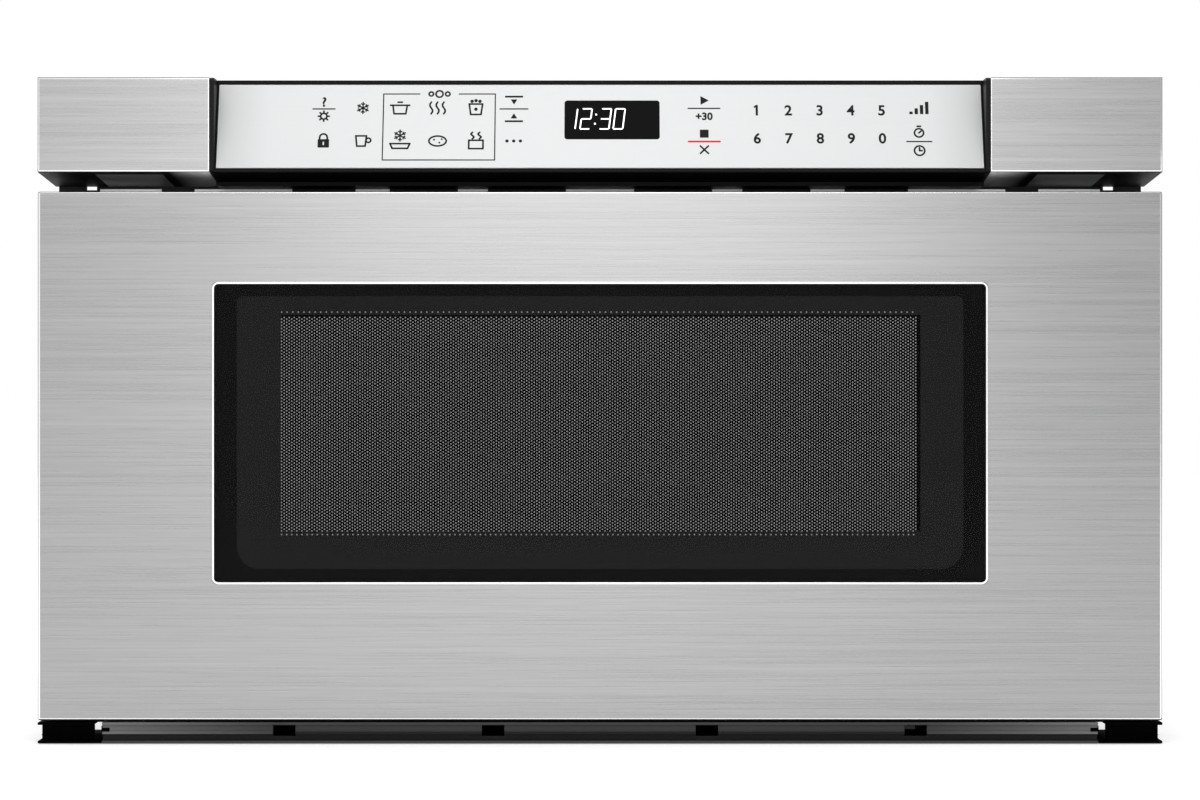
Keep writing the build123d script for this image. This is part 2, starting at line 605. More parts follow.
def air_holes(axis, middle, cut):
    """A field of round holes through a sheet, in rows along Y."""
    holes = []
    for row in range(AIR_HOLE_ROWS):
        for column in range(AIR_HOLE_COLUMNS):
            across = (row - (AIR_HOLE_ROWS - 1) / 2) * AIR_HOLE_PITCH
            along = (column - (AIR_HOLE_COLUMNS - 1) / 2) * AIR_HOLE_PITCH
            if axis == "z":
                holes.append(rod_z(middle[0] + across, middle[1] + along, cut, AIR_HOLE_RADIUS))
            else:
                holes.append(rod_x(cut, middle[1] + along, middle[2] + across, AIR_HOLE_RADIUS))
    return holes


def cavity_floor():
    thick = (CAVITY_UNDERSIDE_Z, CAVITY_FLOOR_Z)
    floor = block(CAVITY_OUT, (BODY_FRONT_Y, CAVITY_BACK_Y + CAVITY_SHEET), thick)
    return floor - rod_z(0, CAVITY_MID_Y, overrun(thick), WELL_RADIUS)


def cavity_ceiling():
    thick = (CAVITY_TOP_Z, CAVITY_ROOF_Z)
    ceiling = block(CAVITY_OUT, (BODY_FRONT_Y, CAVITY_BACK_Y + CAVITY_SHEET), thick)
    lamp_hole = rod_z(LAMP_X, CAVITY_MID_Y, overrun(thick), LAMP_BULB_RADIUS + LAMP_HOLE_PLAY)
    return ceiling - lamp_hole - air_holes("z", (DUCT_X, CAVITY_MID_Y), overrun(thick))


def cavity_side_wall():
    """Right-hand wall, with the field of holes that lets air in."""
    thick = (CAVITY_HALF, CAVITY_HALF + CAVITY_SHEET)
    wall = block(thick, CAVITY_LONG, (CAVITY_FLOOR_Z, CAVITY_TOP_Z))
    middle = (0, CAVITY_BACK_Y - CUTOUT_DROP, CAVITY_TOP_Z - CUTOUT_DROP)
    return wall - air_holes("x", middle, overrun(thick))


def cavity_rear_wall():
    return block(CAVITY_OUT, (CAVITY_BACK_Y, CAVITY_BACK_Y + CAVITY_SHEET), (CAVITY_FLOOR_Z, CAVITY_TOP_Z))


def antenna_well():
    outer = rod_z(0, CAVITY_MID_Y, (GUIDE_TOP_Z, CAVITY_UNDERSIDE_Z), WELL_RADIUS + CAVITY_SHEET)
    inner = rod_z(0, CAVITY_MID_Y, (WELL_FLOOR_Z, CAVITY_UNDERSIDE_Z + BOOLEAN_MARGIN), WELL_RADIUS)
    port = rod_z(0, CAVITY_MID_Y, overrun((GUIDE_TOP_Z, WELL_FLOOR_Z)), GUIDE_PORT_RADIUS)
    return outer - inner - port


def antenna_cover():
    return rod_z(0, CAVITY_MID_Y, (CAVITY_FLOOR_Z, CAVITY_FLOOR_Z + COVER_THICKNESS), WELL_RADIUS + COVER_LAP)


GUIDE_LONG = (CAVITY_MID_Y - GUIDE_FRONT_REACH, MAGNETRON_Y + MAGNETRON_DEPTH / 2)


def waveguide():
    outer = block(span(0, GUIDE_WIDTH), GUIDE_LONG, (GUIDE_BOTTOM_Z, GUIDE_TOP_Z))
    inner_long = (GUIDE_LONG[0] + CAVITY_SHEET, GUIDE_LONG[1] - CAVITY_SHEET)
    inner_tall = (GUIDE_BOTTOM_Z + CAVITY_SHEET, GUIDE_TOP_Z - CAVITY_SHEET)
    inner = block(span(0, GUIDE_WIDTH - 2 * CAVITY_SHEET), inner_long, inner_tall)
    port = rod_z(0, CAVITY_MID_Y, (inner_tall[1] - BOOLEAN_MARGIN, GUIDE_TOP_Z + BOOLEAN_MARGIN),
                 GUIDE_PORT_RADIUS)
    shaft_hole = rod_z(0, CAVITY_MID_Y, (GUIDE_BOTTOM_Z - BOOLEAN_MARGIN, inner_tall[0] + BOOLEAN_MARGIN),
                       SHAFT_RADIUS + BRACKET_HOLE_PLAY)
    probe_hole = rod_z(0, MAGNETRON_Y, (inner_tall[1] - BOOLEAN_MARGIN, GUIDE_TOP_Z + BOOLEAN_MARGIN),
                       MAGNETRON_PROBE_RADIUS + BRACKET_HOLE_PLAY)
    return outer - inner - port - shaft_hole - probe_hole


def stirrer_motor():
    tall = (GUIDE_BOTTOM_Z - STIRRER_MOTOR_HEIGHT, GUIDE_BOTTOM_Z)
    body = rod_z(0, CAVITY_MID_Y, tall, STIRRER_MOTOR_RADIUS)
    bore = rod_z(0, CAVITY_MID_Y, (GUIDE_BOTTOM_Z - SHAFT_SEAT, GUIDE_BOTTOM_Z + BOOLEAN_MARGIN),
                 SHAFT_RADIUS + SHAFT_PLAY)
    return body - bore


def stirrer_antenna():
    """A slotted blade on a hub, and the shaft that turns it."""
    blade_z = WELL_FLOOR_Z + ANTENNA_LIFT
    blade = rod_z(0, CAVITY_MID_Y, (blade_z, blade_z + ANTENNA_SHEET), ANTENNA_RADIUS)
    half = ANTENNA_RADIUS / 2
    cut_z = overrun((blade_z, blade_z + ANTENNA_SHEET))
    side_cut = block((half, ANTENNA_RADIUS + BOOLEAN_MARGIN),
                     span(CAVITY_MID_Y, 2 * ANTENNA_RADIUS + BOOLEAN_MARGIN), cut_z)
    slots = [block(span(-half, half / 3), span(CAVITY_MID_Y + side * half, half), cut_z) for side in (-1, 1)]
    hub = rod_z(0, CAVITY_MID_Y, span(blade_z, ANTENNA_HUB_HEIGHT), ANTENNA_HUB_RADIUS)
    shaft = rod_z(0, CAVITY_MID_Y, (GUIDE_BOTTOM_Z - SHAFT_SEAT + TOUCH_GAP, blade_z), SHAFT_RADIUS)
    return blade - side_cut - slots + hub + shaft


# ---- Power parts -------------------------------------------------------------------------------
def magnetron():
    """Cooling fins in a frame round the anode, filter box on top, probe down into the waveguide."""
    width = span(0, MAGNETRON_WIDTH)
    deep = span(MAGNETRON_Y, MAGNETRON_DEPTH)
    fins_top = GUIDE_TOP_Z + MAGNETRON_FIN_PITCH * (MAGNETRON_FIN_COUNT + 1)
    body = block(width, deep, (GUIDE_TOP_Z, GUIDE_TOP_Z + MAGNETRON_FRAME_SHEET))
    body += block(width, deep, (fins_top, fins_top + MAGNETRON_FRAME_SHEET))
    for side in (-1, 1):
        edge = sorted((side * MAGNETRON_WIDTH / 2, side * (MAGNETRON_WIDTH / 2 - MAGNETRON_FRAME_SHEET)))
        body += block(edge, deep, (GUIDE_TOP_Z, fins_top))
    for index in range(MAGNETRON_FIN_COUNT):
        level = GUIDE_TOP_Z + MAGNETRON_FIN_PITCH * (index + 1)
        body += block(width, deep, (level, level + MAGNETRON_FIN_SHEET))
    body += rod_z(0, MAGNETRON_Y, (GUIDE_TOP_Z, fins_top), MAGNETRON_ANODE_RADIUS)
    body += block(span(0, FILTER_BOX_WIDTH), deep, (fins_top, fins_top + FILTER_BOX_HEIGHT))
    probe_z = (GUIDE_TOP_Z - MAGNETRON_PROBE_LENGTH, GUIDE_TOP_Z)
    return body + rod_z(0, MAGNETRON_Y, probe_z, MAGNETRON_PROBE_RADIUS)


def hv_transformer():
    middle_y = REAR_BAY_Y + WINDING_PROUD + TRANSFORMER_DEPTH / 2
    core = block(span(TRANSFORMER_X, TRANSFORMER_WIDTH), span(middle_y, TRANSFORMER_DEPTH),
                 (CASE_SHEET, CASE_SHEET + TRANSFORMER_HEIGHT))
    windings = block(span(TRANSFORMER_X, TRANSFORMER_WIDTH - 2 * WINDING_MARGIN),
                     span(middle_y, TRANSFORMER_DEPTH + 2 * WINDING_PROUD),
                     (CASE_SHEET + WINDING_MARGIN, CASE_SHEET + TRANSFORMER_HEIGHT - WINDING_MARGIN))
    return core + windings


def hv_capacitor():
    middle_y = REAR_BAY_Y + CAPACITOR_DEPTH / 2
    radius = CAPACITOR_WIDTH / 2
    can = block(span(CAPACITOR_X, CAPACITOR_WIDTH), span(middle_y, CAPACITOR_DEPTH - CAPACITOR_WIDTH),
                (CASE_SHEET, CASE_SHEET + CAPACITOR_HEIGHT))
    for end in (-1, 1):
        y = middle_y + end * (CAPACITOR_DEPTH / 2 - radius)
        can += rod_z(CAPACITOR_X, y, (CASE_SHEET, CASE_SHEET + CAPACITOR_HEIGHT), radius)
        tab_y = span(middle_y + end * radius / 2, TERMINAL_WIDTH)
        can += block(span(CAPACITOR_X, TERMINAL_WIDTH / 2), tab_y,
                     (CASE_SHEET + CAPACITOR_HEIGHT, CASE_SHEET + CAPACITOR_HEIGHT + TERMINAL_HEIGHT))
    return can


def noise_filter_board():
    middle_y = REAR_BAY_Y + FILTER_BOARD_DEPTH / 2
    top = CASE_SHEET + FILTER_BOARD_LIFT + BOARD_SHEET
    board = block(span(FILTER_BOARD_X, FILTER_BOARD_WIDTH), span(middle_y, FILTER_BOARD_DEPTH),
                  (top - BOARD_SHEET, top))
    for side in (-1, 1):
        for end in (-1, 1):
            x = FILTER_BOARD_X + side * (FILTER_BOARD_WIDTH / 2 - BOSS_INSET)
            y = middle_y + end * (FILTER_BOARD_DEPTH / 2 - BOSS_INSET)
            board += rod_z(x, y, (CASE_SHEET, top), BOSS_RADIUS)
    choke_radius = FILTER_BOARD_WIDTH / 6
    board += rod_z(FILTER_BOARD_X, middle_y + choke_radius, (top, top + choke_radius), choke_radius)
    for side in (-1, 1):
        x = FILTER_BOARD_X + side * 2 * choke_radius
        board += block(span(x, choke_radius), span(middle_y - choke_radius, 2 * choke_radius),
                       (top, top + choke_radius))
    return board


def thermal_cutout():
    wall_y = CAVITY_BACK_Y + CAVITY_SHEET
    z = CAVITY_TOP_Z - CUTOUT_DROP
    body = rod_y(CUTOUT_X, (wall_y, wall_y + CUTOUT_HEIGHT), z, CUTOUT_RADIUS)
    for side in (-1, 1):
        body += block(span(CUTOUT_X + side * CUTOUT_RADIUS / 2, CUTOUT_RADIUS / 8),
                      (wall_y + CUTOUT_HEIGHT, wall_y + CUTOUT_HEIGHT + TERMINAL_HEIGHT),
                      span(z, TERMINAL_WIDTH))
    return body


# ---- Fan ---------------------------------------------------------------------------------------
FAN_FRONT_Y = REAR_IN_Y - FAN_FRAME_DEPTH
FAN_HUB_FRONT_Y = FAN_FRONT_Y + FAN_ARM_SHEET + FAN_HUB_GAP
FAN_HUB_Y = (FAN_HUB_FRONT_Y, FAN_HUB_FRONT_Y + FAN_HUB_DEPTH)


def fan_shroud():
    """A square frame with a round bore, and arms across its front that carry the motor."""
    deep = (FAN_FRONT_Y, REAR_IN_Y)
    arm_deep = (FAN_FRONT_Y, FAN_FRONT_Y + FAN_ARM_SHEET)
    frame = block(span(FAN_X, FAN_FRAME), deep, span(FAN_Z, FAN_FRAME))
    frame -= rod_y(FAN_X, overrun(deep), FAN_Z, FAN_BORE_RADIUS)
    plate = rod_y(FAN_X, arm_deep, FAN_Z, FAN_MOTOR_RADIUS)
    reach = FAN_FRAME / 2
    for index in range(FAN_ARM_COUNT // 2):
        across = span(0, 2 * reach)
        arm = block(across, arm_deep, span(0, FAN_ARM_WIDTH))
        plate += Pos(FAN_X, 0, FAN_Z) * Rot(0, 180 * index / (FAN_ARM_COUNT // 2), 0) * arm
    return frame + plate - rod_y(FAN_X, overrun(arm_deep), FAN_Z, SHAFT_RADIUS + SHAFT_PLAY + TOUCH_GAP)


def fan_motor():
    deep = (FAN_FRONT_Y - FAN_MOTOR_DEPTH, FAN_FRONT_Y)
    body = rod_y(FAN_X, deep, FAN_Z, FAN_MOTOR_RADIUS)
    return body - rod_y(FAN_X, (FAN_FRONT_Y - SHAFT_SEAT, FAN_FRONT_Y + BOOLEAN_MARGIN), FAN_Z,
                        SHAFT_RADIUS + SHAFT_PLAY)


def fan_blade():
    """Pitched blades round a hub, and the shaft that runs in the motor."""
    middle_y = sum(FAN_HUB_Y) / 2
    rotor = rod_y(0, FAN_HUB_Y, 0, FAN_HUB_RADIUS)
    rotor += rod_y(0, (FAN_FRONT_Y - SHAFT_SEAT + TOUCH_GAP, FAN_HUB_Y[1]), 0, SHAFT_RADIUS)
    inner = FAN_HUB_RADIUS * 0.8
    for index in range(FAN_BLADE_COUNT):
        blade = Pos((inner + FAN_BLADE_RADIUS) / 2, 0, 0) * Rot(FAN_BLADE_PITCH, 0, 0) * Box(
            FAN_BLADE_RADIUS - inner, FAN_BLADE_SHEET, FAN_BLADE_CHORD)
        tip = rod_y(0, (-FAN_BLADE_CHORD, FAN_BLADE_CHORD), 0, FAN_BLADE_RADIUS)
        placed = Pos(0, middle_y, 0) * Rot(0, 360 * index / FAN_BLADE_COUNT, 0) * (blade & tip)
        rotor += placed
    return Pos(FAN_X, 0, FAN_Z) * rotor


# ---- Exhaust, lamp and sensor ------------------------------------------------------------------
def exhaust_duct():
    long = (CAVITY_MID_Y - DUCT_FRONT_REACH, REAR_IN_Y)
    tall = (CAVITY_ROOF_Z, CAVITY_ROOF_Z + DUCT_HEIGHT)
    outer = block(span(DUCT_X, DUCT_WIDTH), long, tall)
    inner = block(span(DUCT_X, DUCT_WIDTH - 2 * CAVITY_SHEET),
                  (long[0] + CAVITY_SHEET, long[1] + BOOLEAN_MARGIN),
                  (tall[0] + CAVITY_SHEET, tall[1] - CAVITY_SHEET))
    mouth = block(span(DUCT_X, AIR_HOLE_ROWS * AIR_HOLE_PITCH),
                  span(CAVITY_MID_Y, AIR_HOLE_COLUMNS * AIR_HOLE_PITCH),
                  overrun((tall[0], tall[0] + CAVITY_SHEET)))
    return outer - inner - mouth


def oven_lamp():
    socket = block(span(LAMP_X, LAMP_SOCKET), span(CAVITY_MID_Y, LAMP_SOCKET),
                   (CAVITY_ROOF_Z, CAVITY_ROOF_Z + LAMP_SOCKET_HEIGHT))
    bulb_end = CAVITY_ROOF_Z - LAMP_BULB_DROP + LAMP_BULB_RADIUS
    bulb = rod_z(LAMP_X, CAVITY_MID_Y, (bulb_end, CAVITY_ROOF_Z), LAMP_BULB_RADIUS)
    return socket + bulb + Pos(LAMP_X, CAVITY_MID_Y, bulb_end) * Sphere(LAMP_BULB_RADIUS)


def humidity_sensor():
    x = DUCT_X + DUCT_WIDTH / 2
    z = CAVITY_ROOF_Z + DUCT_HEIGHT / 2
    body = block((x, x + SENSOR_WIDTH), span(CAVITY_MID_Y, SENSOR_LENGTH), span(z, SENSOR_HEIGHT))
    return body + block((x + SENSOR_WIDTH, x + SENSOR_WIDTH + TERMINAL_HEIGHT / 2),
                        span(CAVITY_MID_Y, SENSOR_LENGTH / 2), span(z, TERMINAL_WIDTH))


# ---- Trim blocks -------------------------------------------------------------------------------
def trim_outline(inset, back_y):
    """Side view of a trim block: upright front, level top, underside falling towards the flange."""
    slope = RETURN_DROP / (FLANGE_FRONT_Y - FRONT_Y)
    low_front = TRIM_BOTTOM_Z + inset
    front = FRONT_Y + inset
    return [(front, low_front), (front, HEIGHT - inset), (back_y, HEIGHT - inset),
            (back_y, low_front - slope * (back_y - front))]


BRACKET_X = (WIDTH / 2 - BRACKET_OUTER_GAP - BRACKET_WIDTH, WIDTH / 2 - BRACKET_OUTER_GAP)


def trim_block():
    """Right-hand block, open at the back and towards the control strip."""
    outer = prism_x(trim_outline(0, FLANGE_FRONT_Y), (TRIM_INNER_X, WIDTH / 2))
    edges = near_front(outer.edges())
    outer = fillet(edges.filter_by_position(Axis.X, TRIM_INNER_X + TRIM_EDGE_RADIUS, WIDTH / 2),
                   TRIM_EDGE_RADIUS)
    inner = prism_x(trim_outline(TRIM_SHEET, FLANGE_FRONT_Y + BOOLEAN_MARGIN),
                    (TRIM_INNER_X - BOOLEAN_MARGIN, WIDTH / 2 - TRIM_SHEET))
    window = block(BRACKET_X, (FRONT_Y + BRACKET_FRONT_GAP, FLANGE_FRONT_Y + BOOLEAN_MARGIN),
                   (TRIM_BOTTOM_Z - 2 * RETURN_DROP, TRIM_BOTTOM_Z + 2 * TRIM_SHEET))
    return outer - inner - window


def trim_bracket():
    """Right-hand bracket: a channel on the flange that fills the window in the block's underside."""
    slope = RETURN_DROP / (FLANGE_FRONT_Y - FRONT_Y)
    front = FRONT_Y + BRACKET_FRONT_GAP
    low = TRIM_BOTTOM_Z - slope * BRACKET_FRONT_GAP
    low_back = TRIM_BOTTOM_Z - RETURN_DROP
    top = HEIGHT - TRIM_SHEET
    inner_front = front + BRACKET_SHEET
    inner_back = FLANGE_FRONT_Y - BRACKET_SHEET
    outline = [(front, low), (front, top), (inner_front, top), (inner_front, low + BRACKET_SHEET),
               (inner_back, low_back + BRACKET_SHEET), (inner_back, top),
               (FLANGE_FRONT_Y, top), (FLANGE_FRONT_Y, low_back)]
    return prism_x(outline, BRACKET_X)


# ---- Control strip -----------------------------------------------------------------------------
LEAN = math.radians(FASCIA_LEAN)
FASCIA_FOOT = (FRONT_Y + FASCIA_SINK, TRIM_BOTTOM_Z + HOUSING_BOTTOM_LIP)
FASCIA_HEIGHT = (TRIM_HEIGHT - HOUSING_BOTTOM_LIP - HOUSING_TOP_LIP) / math.cos(LEAN)
FASCIA_HALF = HOUSING_HALF - FASCIA_END_GAP
FASCIA_PLANE = Plane(origin=(0, *FASCIA_FOOT), x_dir=(1, 0, 0), z_dir=(0, -math.cos(LEAN), math.sin(LEAN)))


def on_fascia(up, out):
    """The (y, z) place that lies `up` along the fascia's slope and `out` from its face."""
    y = FASCIA_FOOT[0] + up * math.sin(LEAN) - out * math.cos(LEAN)
    z = FASCIA_FOOT[1] + up * math.cos(LEAN) + out * math.sin(LEAN)
    return (y, z)


def fascia_block(x, up, out):
    """A box in the fascia's own directions; each argument is a (low, high) pair."""
    return FASCIA_PLANE * block(x, up, out)


def housing_underside():
    step_y = FRONT_Y + HOUSING_STEP_BACK
    low = TRIM_BOTTOM_Z - HOUSING_SLOPE_DROP
    return [(FLANGE_FRONT_Y, low - HOUSING_STEP_DROP), (step_y, low - HOUSING_STEP_DROP), (step_y, low)]


def control_housing():
    wall = HOUSING_WALL
    wide = (-HOUSING_HALF, HOUSING_HALF)
    top = on_fascia(FASCIA_HEIGHT, 0)
    outer = [(FRONT_Y, TRIM_BOTTOM_Z), (FRONT_Y, FASCIA_FOOT[1]), FASCIA_FOOT, top, (top[0], HEIGHT),
             (FLANGE_FRONT_Y, HEIGHT), *housing_underside()]
    shell = prism_x(outer, wide)
    shell -= fascia_block((-FASCIA_HALF, FASCIA_HALF), (0, FASCIA_HEIGHT), (-FASCIA_SHEET, FASCIA_SHEET * 8))
    seat_low = on_fascia(0, -FASCIA_SHEET - wall)
    seat_high = on_fascia(FASCIA_HEIGHT, -FASCIA_SHEET - wall)
    (back, low), (step, _), (_, shelf) = housing_underside()
    inner = [(seat_low[0] + wall, shelf + 2 * wall), (seat_high[0], HEIGHT - wall),
             (back - wall, HEIGHT - wall), (back - wall, low + wall),
             (step + wall, low + wall), (step + wall, shelf + wall)]
    shell -= prism_x(inner, (-HOUSING_HALF + wall, HOUSING_HALF - wall))
    window = (-FASCIA_HALF + 2 * BOSS_INSET, FASCIA_HALF - 2 * BOSS_INSET)
    return shell - fascia_block(window, (BOSS_INSET, FASCIA_HEIGHT - BOSS_INSET),
                                (-FASCIA_SHEET - MODULE_DEPTH - CHIP_HEIGHT - BOARD_SHEET - wall, 0))


def end_cap():
    """Right-hand cap between the control strip and the trim block."""
    outline = [(FRONT_Y, TRIM_BOTTOM_Z), (FRONT_Y, HEIGHT), (FLANGE_FRONT_Y, HEIGHT), *housing_underside()]
    cap = prism_x(outline, (HOUSING_HALF, TRIM_INNER_X))
    return fillet(near_front(cap.edges().filter_by(Axis.X)), END_CAP_RADIUS)


BOARD_BACK = -FASCIA_SHEET - MODULE_DEPTH - BOARD_SHEET


def boss_places():
    xs = (-CONTROL_BOARD_WIDTH / 2 + BOSS_INSET, CONTROL_BOARD_WIDTH / 2 - BOSS_INSET)
    middle = FASCIA_HEIGHT / 2
    ups = (middle - CONTROL_BOARD_HEIGHT / 2 + BOSS_INSET, middle + CONTROL_BOARD_HEIGHT / 2 - BOSS_INSET)
    return [(x, up) for x in xs for up in ups]


def lens_plate(out):
    face = Pos(LENS_X, LENS_RISE) * RectangleRounded(LENS_WIDTH, LENS_HEIGHT, LENS_RADIUS)
    return extrude(FASCIA_PLANE.offset(out[0]) * face, out[1] - out[0])


def control_fascia():
    """The touch panel: a plate with the lens opening and four bosses for the board."""
    plate = fascia_block((-FASCIA_HALF, FASCIA_HALF), (0, FASCIA_HEIGHT), (-FASCIA_SHEET, 0))
    plate -= lens_plate((-FASCIA_SHEET - BOOLEAN_MARGIN, BOOLEAN_MARGIN))
    for x, up in boss_places():
        boss = Pos(x, up, -FASCIA_SHEET - MODULE_DEPTH / 2) * Cylinder(BOSS_RADIUS, MODULE_DEPTH)
        plate += FASCIA_PLANE * boss
    return plate


def display_lens():
    return lens_plate((-LENS_SHEET, 0))


def display_module():
    return fascia_block(span(LENS_X, LENS_WIDTH - 2 * MODULE_MARGIN),
                        span(LENS_RISE, LENS_HEIGHT - 2 * MODULE_MARGIN),
                        (-FASCIA_SHEET - MODULE_DEPTH, -LENS_SHEET))


def control_board():
    middle = FASCIA_HEIGHT / 2
    front = BOARD_BACK + BOARD_SHEET
    board = fascia_block(span(0, CONTROL_BOARD_WIDTH), span(middle, CONTROL_BOARD_HEIGHT),
                         (BOARD_BACK, front))
    for x, size in CHIP_SIZES:
        board += fascia_block(span(x, size), span(middle, size / 2), (BOARD_BACK - CHIP_HEIGHT, BOARD_BACK))
    return board


# ---- Bottom trim -------------------------------------------------------------------------------
def bottom_trim():
    """Middle part: lips above and below a stepped web, with four air slots."""
    half = WIDTH / 2 - END_BLOCK_WIDTH - END_BLOCK_GAP
    upper = FRONT_Y + BOTTOM_UPPER_SETBACK
    ledge = FRONT_Y + BOTTOM_LEDGE_SETBACK
    lower = FRONT_Y + BOTTOM_LOWER_SETBACK
    top = BOTTOM_TRIM_HEIGHT - BOTTOM_LIP
    back = FLANGE_FRONT_Y
    web_back = lower + BOTTOM_WEB
    outline = [(FRONT_Y, 0), (FRONT_Y, BOTTOM_LIP), (lower, BOTTOM_LIP), (lower, BOTTOM_LEDGE_LOW),
               (ledge, BOTTOM_LEDGE_LOW), (ledge, BOTTOM_LEDGE_HIGH), (upper, BOTTOM_LEDGE_HIGH),
               (upper, top), (FRONT_Y, top), (FRONT_Y, BOTTOM_TRIM_HEIGHT), (back, BOTTOM_TRIM_HEIGHT),
               (back, top), (web_back, top), (web_back, BOTTOM_LIP), (back, BOTTOM_LIP), (back, 0)]
    trim = prism_x(outline, (-half, half))
    cut = (FRONT_Y, web_back + BOOLEAN_MARGIN)
    slots = [block(span(side * middle, SLOT_WIDTH), cut, (SLOT_LOW_Z, top))
             for side in (-1, 1) for middle in SLOT_CENTRES]
    notches = [block(across, cut, TRIM_NOTCH_Z)
               for across in ((-half - BOOLEAN_MARGIN, TRIM_NOTCH_WIDTH - half),
                              (half - TRIM_NOTCH_WIDTH, half + BOOLEAN_MARGIN))]
    return trim - slots - notches


def bottom_end_block():
    """Right-hand end block: two lips, a set-back web and a thin ledge."""
    x = (WIDTH / 2 - END_BLOCK_WIDTH, WIDTH / 2)
    web_x = (x[0], x[1] - END_BLOCK_SIDE_SETBACK)
    web_y = (FRONT_Y + BOTTOM_UPPER_SETBACK + BOTTOM_WEB, FRONT_Y + BOTTOM_UPPER_SETBACK + 2 * BOTTOM_WEB)
    deep = (FRONT_Y, FLANGE_FRONT_Y)
    body = block(x, deep, (0, BOTTOM_LIP))
    tongue_x = (x[0] - END_BLOCK_GAP + TOUCH_GAP, x[0])
    body += block(tongue_x, (FRONT_Y, FRONT_Y + END_LIP_DEPTH), (0, BOTTOM_LIP))
    body += block(x, deep, (BOTTOM_TRIM_HEIGHT - BOTTOM_LIP, BOTTOM_TRIM_HEIGHT))
    body += block(web_x, web_y, (0, BOTTOM_TRIM_HEIGHT))
    body += block((web_x[1] - BOTTOM_WEB, web_x[1]), (web_y[0], deep[1]), (0, BOTTOM_TRIM_HEIGHT))
    ledge = (END_LEDGE_Z, END_LEDGE_Z + END_LEDGE_SHEET)
    return body + block(web_x, (FRONT_Y + BOTTOM_UPPER_SETBACK, web_y[1]), ledge)


# ---- Drawer front ------------------------------------------------------------------------------
TRIM_OUTER_WIDTH = WINDOW_WIDTH + 2 * WINDOW_TRIM
TRIM_OUTER_HEIGHT = WINDOW_HEIGHT + 2 * WINDOW_TRIM
TRIM_OUTER_RADIUS = WINDOW_RADIUS + WINDOW_TRIM
GLASS_BACK_Y = FRONT_Y + GLASS_SINK + GLASS_SHEET
SCREEN_BACK_Y = GLASS_BACK_Y + SCREEN_SHEET


def drawer_front():
    """Brushed skin with the window cut out, and a separate return strip along each of its edges."""
    deep = (FRONT_Y, FRONT_Y + SKIN_RETURN)
    outer = block((-WIDTH / 2, WIDTH / 2), deep, (DRAWER_BOTTOM_Z, DRAWER_TOP_Z))
    outer = fillet(near_front(outer.edges()), SKIN_EDGE_RADIUS)
    inner_z = (DRAWER_BOTTOM_Z + SKIN_SHEET, DRAWER_TOP_Z - SKIN_SHEET)
    inner = block(span(0, WIDTH - 2 * SKIN_SHEET), (SKIN_BACK_Y, deep[1] + BOOLEAN_MARGIN), inner_z)
    window = rounded_plate(TRIM_OUTER_WIDTH, TRIM_OUTER_HEIGHT, WINDOW_MID_Z, overrun((FRONT_Y, SKIN_BACK_Y)),
                           TRIM_OUTER_RADIUS)
    across = overrun((-WIDTH / 2, WIDTH / 2))
    rim_back = FRONT_Y + SKIN_RIM
    strips_y = (rim_back, deep[1] + BOOLEAN_MARGIN)
    seams = [block(across, (rim_back, rim_back + TOUCH_GAP), overrun((DRAWER_BOTTOM_Z, DRAWER_TOP_Z))),
             block(across, strips_y, (inner_z[0], inner_z[0] + TOUCH_GAP)),
             block(across, strips_y, (inner_z[1] - TOUCH_GAP, inner_z[1]))]
    return outer - inner - window - seams


def window_trim():
    deep = (FRONT_Y, FRONT_Y + WINDOW_TRIM_DEPTH)
    outer = rounded_plate(TRIM_OUTER_WIDTH, TRIM_OUTER_HEIGHT, WINDOW_MID_Z, deep, TRIM_OUTER_RADIUS)
    return outer - rounded_plate(WINDOW_WIDTH, WINDOW_HEIGHT, WINDOW_MID_Z, overrun(deep), WINDOW_RADIUS)


def window_glass():
    deep = (FRONT_Y + GLASS_SINK, GLASS_BACK_Y)
    return rounded_plate(WINDOW_WIDTH, WINDOW_HEIGHT, WINDOW_MID_Z, deep, WINDOW_RADIUS)


def window_screen():
    return rounded_plate(WINDOW_WIDTH - 2 * SCREEN_SIDE_MARGIN, WINDOW_HEIGHT - 2 * SCREEN_END_MARGIN,
                         WINDOW_MID_Z, (GLASS_BACK_Y, SCREEN_BACK_Y), WINDOW_RADIUS)


def door_screw_places():
    """Screws through the choke cover's edge into the door frame's side walls."""
    xs = evenly(-DOOR_WIDTH / 2 + DOOR_SCREW_MARGIN, DOOR_WIDTH / 2 - DOOR_SCREW_MARGIN, 5)
    rise = DOOR_HEIGHT / 2 - DOOR_SCREW_MARGIN
    zs = (DRAWER_MID_Z - rise, DRAWER_MID_Z + rise)
    return [("y", (x, 0, z), CHOKE_BACK_Y, 1, 2 * CHOKE_SHEET) for x in xs for z in zs]


def upright_seams(edge, deep):
    """Cuts `edge` from the middle on both sides, which part a plate into separate pieces."""
    height = (DRAWER_BOTTOM_Z, DRAWER_TOP_Z)
    cuts = ((-edge - TOUCH_GAP, -edge), (edge, edge + TOUCH_GAP))
    return [block(across, overrun(deep), height) for across in cuts]


